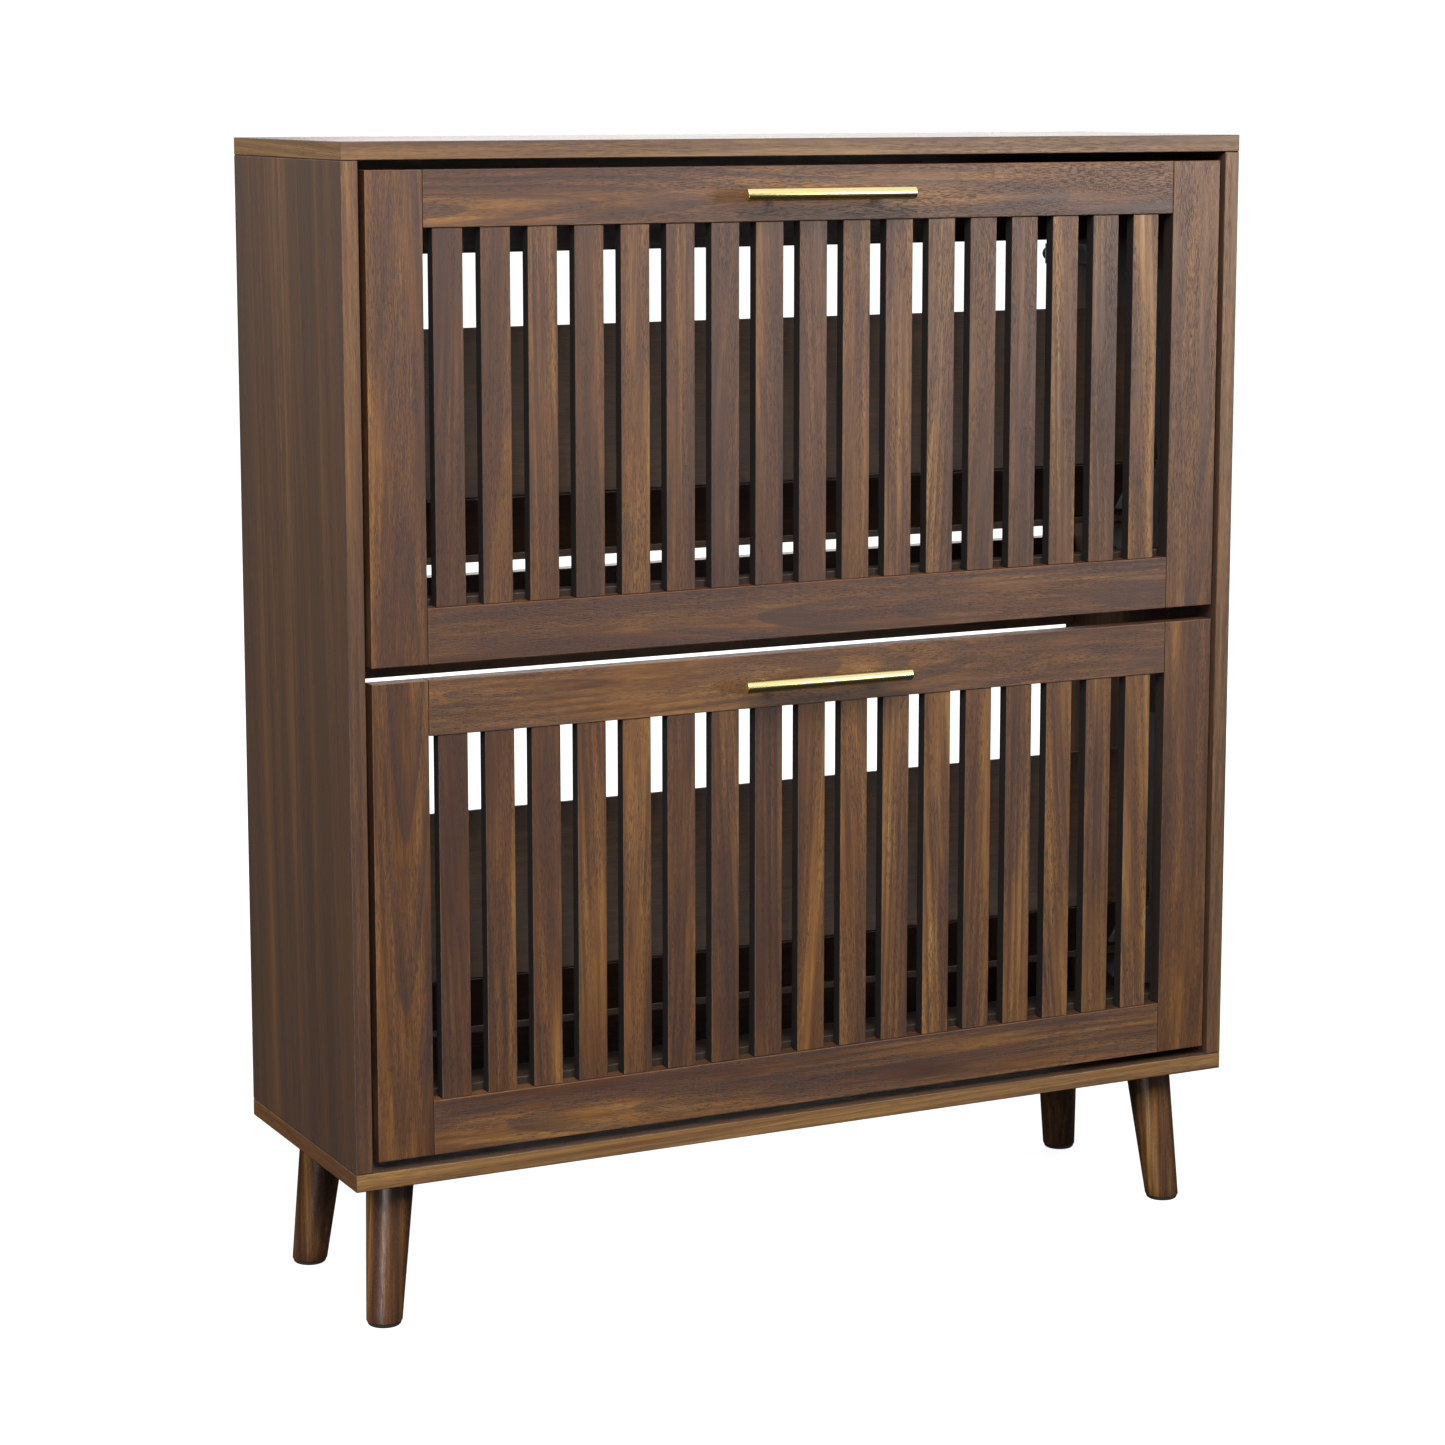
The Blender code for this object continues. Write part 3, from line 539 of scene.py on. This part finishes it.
# door edges: the lighter reddish line on eased edges is a painted highlight, where light catches the rounded
# edges
doorWood = walnutMaterial("doorWalnut", {
    "ringSpacing": 0.0055, "rings": 0.6, "bandWidth": 0.022, "bands": 1.35, "streaks": 0.95, "plum": 0.8,
    "pores": 0.75, "bump": 0.3, "roughness": 0.35,
    "edgeLine": 0.6, "edgeColour": (0.240, 0.095, 0.038), "jointAndPaintedShadeColour": (0.005, 0.0022, 0.001),
})
legWood = walnutMaterial("legWalnut", {
    "ringSpacing": 0.006, "rings": 0.6, "bandWidth": 0.014, "bands": 1.8, "streaks": 1.8, "plum": 0.7,
    "pores": 0.5, "bump": 0.2, "roughness": 0.27,
    "edgeLine": 0.0, "edgeColour": (0.1, 0.05, 0.03), "jointAndPaintedShadeColour": (0.008, 0.004, 0.002),
})
# rack boards: the light grey line on eased edges is a painted highlight
rackWood = walnutMaterial("rackBoard", {
    "ringSpacing": 0.007, "rings": 0.4, "bandWidth": 0.04, "bands": 1.0, "streaks": 0.8, "plum": 0.4,
    "pores": 0.3, "bump": 0.2, "roughness": 0.45,
    "edgeLine": 0.7, "edgeColour": (0.20, 0.175, 0.155), "jointAndPaintedShadeColour": (0.008, 0.004, 0.002),
})


# brass: brushed lines are noise stretched along the bar, with faint handling marks
def brassMaterial():
    material, tree, shader = newMaterial("satinBrass")
    place = put(tree, "TexCoord").outputs["Object"]
    lines = noise(tree, stretched(tree, place, (0.003, 1, 1)), 1900.0, 2.0).outputs[0]
    marks = put(tree, "Group", {"Place": place, "Base": 0.25, "Clouds": 0.10, "Specks": 0.02},
                node_tree=handlingMarks).outputs
    roughness = calc(tree, "MULTIPLY_ADD", calc(tree, "SUBTRACT", lines, 0.5), 0.12, marks["Roughness"])
    colour = ramp(tree, lines, [(0.3, (0.80, 0.66, 0.28)), (0.7, (0.88, 0.75, 0.37))])
    tree.links.new(colour, shader.inputs["Base Color"])
    tree.links.new(roughness, shader.inputs["Roughness"])
    shader.inputs["Metallic"].default_value = 1.0
    return material


# zinc plate: cells of slightly different grey, fine scratches and dull patches
def steelMaterial():
    material, tree, shader = newMaterial("zincPlate")
    place = put(tree, "TexCoord").outputs["Object"]
    cell = put(tree, "TexVoronoi", {"Vector": place, "Scale": 260.0}).outputs["Color"]
    scratch = noise(tree, stretched(tree, place, (1, 0.08, 1)), 1500.0, 2.0).outputs[0]
    grey = calc(tree, "MULTIPLY_ADD", put(tree, "SeparateColor", (cell,)).outputs[0], 0.35, 0.3)
    colour = ramp(tree, grey, [(0.2, (0.36, 0.37, 0.38)), (0.8, (0.62, 0.63, 0.64))])
    marks = put(tree, "Group", {"Place": place, "Base": 0.36, "Clouds": 0.2, "Specks": 0.08},
                node_tree=handlingMarks).outputs
    tree.links.new(colour, shader.inputs["Base Color"])
    tree.links.new(marks["Roughness"], shader.inputs["Roughness"])
    bump = put(tree, "Bump", {"Strength": 0.15, "Distance": 0.0001, "Height": scratch}).outputs[0]
    tree.links.new(bump, shader.inputs["Normal"])
    shader.inputs["Metallic"].default_value = 1.0
    return material


# moulded plastic or rubber: a pebbled skin of fine noise with dust in broad patches
def mouldedMaterial(name, look):
    material, tree, shader = newMaterial(name)
    place = put(tree, "TexCoord").outputs["Object"]
    pebble = noise(tree, place, 1400.0, 2.0).outputs[0]
    dust = rise(tree, noise(tree, place, 35.0, 4.0, 0.6).outputs[0], 0.45, 0.75, look["dust"])
    colour = mixed(tree, dust, (*look["colour"], 1.0), (*look["dustColour"], 1.0))
    marks = put(tree, "Group", {"Place": place, "Base": look["roughness"]}, node_tree=handlingMarks).outputs
    tree.links.new(colour, shader.inputs["Base Color"])
    tree.links.new(marks["Roughness"], shader.inputs["Roughness"])
    bump = put(tree, "Bump", {"Strength": 0.3, "Distance": 0.0001, "Height": pebble}).outputs[0]
    tree.links.new(bump, shader.inputs["Normal"])
    return material


brass = brassMaterial()
steel = steelMaterial()
plastic = mouldedMaterial("greyPlastic", {
    "colour": (0.26, 0.26, 0.265), "dustColour": (0.36, 0.35, 0.34), "dust": 0.4, "roughness": 0.5,
})
rubber = mouldedMaterial("blackRubber", {
    "colour": (0.015, 0.015, 0.016), "dustColour": (0.05, 0.048, 0.045), "dust": 0.5, "roughness": 0.78,
})
print("finishes ready")

# ---------- carcass ----------
panel = {"material": caseWood, "slot": "carcass_walnut", "edgeRadius": 0.0009, "figure": "straight",
         "shorten": 0.25, "tone": 0.37, "cool": 0.48, "edgingTone": 0.25, "edgingCool": 0.4, "shade": {}}
# the edging on the right side and on the top board is lighter in part as painted sheen, the haze of the
# front-right light on those edges
panels = {
    "top_board": {**panel, "along": "x", "tone": 0.38, "edgingTone": 0.36, "edgingCool": 0.7},
    "bottom_board": {**panel, "along": "x", "edgingTone": 0.27, "edgingCool": 0.0},
    "left_side": {**panel, "along": "z", "edgingTone": 0.14},
    "right_side": {**panel, "along": "z", "edgingTone": 0.37},
    "back_rail_top": {**panel, "along": "x", "tone": 0.35},
    "back_rail_middle": {**panel, "along": "x", "tone": 0.38},
    "back_rail_bottom": {**panel, "along": "x", "tone": 0.36},
}
for name, look in panels.items():
    low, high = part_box(name)
    if look["along"] == "z":
        # the side boards stand tight between the top and bottom boards
        low.z, high.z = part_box("bottom_board")[1].z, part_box("top_board")[0].z
    addBoard(name + "_veneered", low, high, "cabinet", look, (name,))

legLook = {"figure": "straight", "shorten": 0.35, "tone": 0.46, "cool": 0.05, "dark": 0.0, "footRadius": 0.0144,
           "topRadius": 0.0192, "ease": 0.0006}
for end in ends:
    for side in sides:
        label = f"{end}_{side}"
        legLow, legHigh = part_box("leg_" + label)
        foot = (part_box("glide_" + label)[0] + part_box("glide_" + label)[1]) / 2
        head = (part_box("leg_plate_" + label)[0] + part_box("leg_plate_" + label)[1]) / 2
        ease = legLook["ease"]
        turn = np.linspace(0, math.pi / 2, 5)
        lift = np.concatenate([ease - ease * np.cos(turn), np.linspace(0.01, legHigh.z - legLow.z, 10)])
        share = lift / (legHigh.z - legLow.z)
        radii = legLook["footRadius"] + share * (legLook["topRadius"] - legLook["footRadius"])
        radii[:5] -= ease - ease * np.sin(turn)
        centres = np.stack([foot.x + share * (head.x - foot.x), foot.y + share * (head.y - foot.y),
                            legLow.z + lift], axis=1)
        mesh = turnedMesh(f"leg_{label}_turned", centres, radii, (1, 0, 0), (0, 1, 0))
        putGrain(mesh, mesh.name, (0, 1, 2), legLook)
        newPiece(mesh.name, mesh, "cabinet", legWood, ("leg_" + label,))

fitting = {"edgeRadius": 0.0004}
for end in ends:
    for side in sides:
        label = f"{end}_{side}"
        easedCopy("glide_" + label, "cabinet", {**fitting, "material": rubber, "slot": "black_rubber"})
        easedCopy("leg_plate_" + label, "cabinet", {**fitting, "material": steel, "slot": "zinc_steel"})
for side in sides:
    easedCopy("wall_bracket_" + side, "cabinet", {**fitting, "material": steel, "slot": "zinc_steel"})
    easedCopy("wall_bumper_" + side, "cabinet", {**fitting, "material": rubber, "slot": "black_rubber"})
    for drawer in drawers:
        easedCopy(f"{drawer}_pivot_plate_{side}", "cabinet",
                  {**fitting, "material": plastic, "slot": "grey_plastic"})
print("carcass finished")

# ---------- doors ----------
doorLook = {"material": doorWood, "slot": "door_walnut", "edgeRadius": 0.0006, "figure": "arched",
            "shorten": 0.7, "tone": 0.42, "cool": 0.0, "edgingTone": 0.0, "edgingCool": 1.0, "shade": {}}
frameTones = {"left_stile": 0.42, "right_stile": 0.45, "top_rail": 0.40, "bottom_rail": 0.38}
# the slats' side faces are painted shade: near-black, the left-facing ones fully, the right-facing ones half
slatLook = {**doorLook, "along": "z", "figure": "straight", "shorten": 1.0,
            "width": 0.0246, "pitch": 0.0390, "firstGap": 0.0080, "shade": {"-x": 1.0, "+x": 0.5}}
# the tone of each slat from the left, from dark to golden
slatTones = (0.34, 0.36, 0.45, 0.28, 0.53, 0.46, 0.34, 0.32, 0.36,
             0.48, 0.46, 0.58, 0.42, 0.42, 0.55, 0.44, 0.54)
# how much lighter a drawer's slats are, at its left end and at its right end; its rails take the mean
drawerTones = {"upper": (0.0, 0.0), "lower": (0.0, 0.14)}

# the faces that meet at a frame's joints are dark, so each joint shows as a thin line; the stiles' inner faces
# beside the opening are painted shade
frameJointLinesAndPaintedShade = {"left_stile": {"+x": 0.9}, "right_stile": {"-x": 0.9},
               "top_rail": {"-x": 0.9, "+x": 0.9}, "bottom_rail": {"-x": 0.9, "+x": 0.9}}

for drawer in drawers:
    body = drawer + "_drawer"
    for label, tone in frameTones.items():
        name = f"{drawer}_{label}"
        if "rail" in label:
            tone += sum(drawerTones[drawer]) / 2
        along = "z" if "stile" in label else "x"
        look = {**doorLook, "tone": tone, "along": along, "shade": frameJointLinesAndPaintedShade[label]}
        addBoard(name + "_veneered", *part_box(name), body, look, (name,))
    grilleLow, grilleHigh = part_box(f"{drawer}_slat_grille")
    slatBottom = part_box(f"{drawer}_bottom_rail")[1].z + 0.0002
    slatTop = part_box(f"{drawer}_top_rail")[0].z - 0.0002
    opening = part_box(f"{drawer}_left_stile")[1].x
    for number, tone in enumerate(slatTones):
        left = opening + slatLook["firstGap"] + number * slatLook["pitch"]
        low = (left, grilleLow.y, slatBottom)
        high = (left + slatLook["width"], grilleHigh.y, slatTop)
        replaced = (f"{drawer}_slat_grille",) if number == 0 else ()
        leftTone, rightTone = drawerTones[drawer]
        tone += leftTone + (rightTone - leftTone) * number / (len(slatTones) - 1)
        addBoard(f"{drawer}_slat_{number + 1}", low, high, body, {**slatLook, "tone": tone}, replaced)
print("doors finished")

# ---------- handles ----------
handle = {"ease": 0.0007}
for drawer in drawers:
    body = drawer + "_drawer"
    low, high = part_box(f"{drawer}_handle_bar")
    middle = (low + high) / 2
    reach, width = rodProfile(high.x - low.x, (high.z - low.z) / 2, handle["ease"])
    centres = np.stack([low.x + reach, np.full_like(reach, middle.y), np.full_like(reach, middle.z)], axis=1)
    mesh = turnedMesh(f"{drawer}_handle_bar_turned", centres, width, (0, 1, 0), (0, 0, 1), 64)
    newPiece(mesh.name, mesh, body, brass, (f"{drawer}_handle_bar",))
    for side in sides:
        easedCopy(f"{drawer}_handle_post_{side}", body, {**fitting, "material": brass, "slot": "brass"})
        easedCopy(f"{drawer}_handle_screw_{side}", body, {**fitting, "material": steel, "slot": "zinc_steel"})
print("handles finished")

# ---------- shoe racks ----------
rackLook = {"material": rackWood, "slot": "rack_board", "edgeRadius": 0.0006, "figure": "straight",
            "shorten": 0.6, "tone": 0.30, "cool": 0.5, "dark": 0.0}
# boards deep in the drawer get painted shade, the front shelf behind the bottom rail most
rackLooks = {
    "upper_board": rackLook,
    "lower_board": {**rackLook, "tone": 0.15, "cool": 0.2, "dark": 0.2},
    "back_shelf": {**rackLook, "tone": 0.2, "dark": 0.1},
    "front_shelf": {**rackLook, "tone": 0.1, "dark": 0.6},
}
for drawer in drawers:
    body = drawer + "_drawer"
    for label, look in rackLooks.items():
        addRackBoard(f"{drawer}_rack_{label}", body, look)
    for side in sides:
        easedCopy(f"{drawer}_rack_arm_{side}", body, {**fitting, "material": plastic, "slot": "grey_plastic"})
print("racks finished")

# ---------- stage, lights and camera ----------
stageLook = {"floorSize": 60.0, "floorGrey": 0.28, "floorGlow": 0.93, "farGlow": 1.1,
             "nearRadius": 0.9, "farRadius": 2.4,
             "room": ((-0.3, 0.04), (0.6, 0.14)), "shine": ((-0.12, 0.02), (0.20, 0.52), (0.55, 1.1))}


# floor: pale matt, with a glow that grows with distance from the middle so it meets the white surround
def addFloor():
    material, tree, shader = newMaterial("paleFloor")
    place = put(tree, "TexCoord").outputs["Object"]
    distance = put(tree, "VectorMath", (place,), operation="LENGTH").outputs[1]
    grow = stageLook["farGlow"] - stageLook["floorGlow"]
    glow = rise(tree, distance, stageLook["nearRadius"], stageLook["farRadius"], grow)
    strength = calc(tree, "ADD", glow, stageLook["floorGlow"])
    shader.inputs["Base Color"].default_value = (*(stageLook["floorGrey"],) * 3, 1.0)
    shader.inputs["Roughness"].default_value = 0.9
    shader.inputs["Specular IOR Level"].default_value = 0.1
    shader.inputs["Emission Color"].default_value = (1.0, 1.0, 1.0, 1.0)
    tree.links.new(strength, shader.inputs["Emission Strength"])
    half = stageLook["floorSize"] / 2
    mesh = bpy.data.meshes.new("floor")
    corners = [(-half, -half, 0), (half, -half, 0), (half, half, 0), (-half, half, 0)]
    mesh.from_pydata(corners, [], [(0, 1, 2, 3)])
    mesh.materials.append(material)
    floor = bpy.data.objects.new("floor", mesh)
    floor.visible_diffuse = False
    floor.visible_glossy = False
    floor.visible_shadow = False
    scene.collection.objects.link(floor)
    floor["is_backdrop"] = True


# surround: white to the eye, a dim room for diffuse light, and a brighter upper half for reflections
def addSurround():
    world = bpy.data.worlds.new("surround")
    scene.world = world
    world.use_nodes = True
    tree = world.node_tree
    tree.nodes.clear()
    up = put(tree, "SeparateXYZ", (put(tree, "TexCoord").outputs["Generated"],)).outputs[2]
    path = put(tree, "LightPath").outputs
    kinds = {}
    for kind in ("room", "shine"):
        stops = [(height / 2 + 0.5, (grey,) * 3) for height, grey in stageLook[kind]]
        colour = ramp(tree, calc(tree, "MULTIPLY_ADD", up, 0.5, 0.5), stops)
        kinds[kind] = put(tree, "Background", {"Color": colour}).outputs[0]
    white = put(tree, "Background", {"Color": (1.0, 1.0, 1.0, 1.0), "Strength": 1.05}).outputs[0]
    unseen = put(tree, "MixShader", (path["Is Glossy Ray"], kinds["room"], kinds["shine"])).outputs[0]
    chosen = put(tree, "MixShader", (path["Is Camera Ray"], unseen, white)).outputs[0]
    tree.links.new(chosen, put(tree, "OutputWorld").inputs[0])


# each softbox: place, the point it faces, width, height and power in watts
softboxes = {
    "keySoftbox": {"place": (-1.1, -2.6, 2.9), "aim": (0.0, 0.0, 0.7), "size": (2.0, 2.0), "power": 175.0},
    "cardSoftbox": {"place": (3.0, -3.7, 1.28), "aim": (0.1, 0.0, 0.6), "size": (2.6, 1.8), "power": 90.0,
                    "onlyGloss": True},
    "sideSoftbox": {"place": (-3.2, 0.2, 1.8), "aim": (0.0, 0.0, 0.5), "size": (1.4, 1.4), "power": 54.0},
    "lowCard": {"place": (-2.1, -2.0, -0.35), "aim": (-0.3, 0.0, 0.1), "size": (0.7, 0.9), "power": 15.0,
                "onlyGloss": True},
    "backSoftbox": {"place": (1.8, 3.2, 2.4), "aim": (0.0, 0.0, 0.5), "size": (2.0, 2.0), "power": 36.0},
    "farSideSoftbox": {"place": (3.2, 0.8, 1.7), "aim": (0.0, 0.0, 0.5), "size": (1.6, 1.6), "power": 24.0},
}


def addLights():
    for name, box in softboxes.items():
        lamp = bpy.data.lights.new(name, "AREA")
        lamp.shape = "RECTANGLE"
        lamp.size, lamp.size_y = box["size"]
        lamp.energy = box["power"]
        item = bpy.data.objects.new(name, lamp)
        item.location = box["place"]
        way = Vector(box["aim"]) - Vector(box["place"])
        item.rotation_euler = way.to_track_quat("-Z", "Y").to_euler()
        item.visible_camera = False
        item.visible_diffuse = not box.get("onlyGloss", False)
        scene.collection.objects.link(item)


cameraLook = {"place": (-1.3405, -2.6191, 0.9686), "yaw": 26.562, "pitch": 8.77, "lens": 89.24, "shift": -0.06}


def addCamera():
    data = bpy.data.cameras.new("camera")
    data.lens = cameraLook["lens"]
    data.sensor_width = 36.0
    data.shift_y = cameraLook["shift"]
    camera = bpy.data.objects.new("camera", data)
    camera.location = cameraLook["place"]
    camera.rotation_euler = (math.radians(90 - cameraLook["pitch"]), 0, math.radians(-cameraLook["yaw"]))
    scene.collection.objects.link(camera)
    scene.camera = camera


addFloor()
addSurround()
addLights()
addCamera()
scene.view_settings.view_transform = "Standard"
print("stage ready")

low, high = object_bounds()
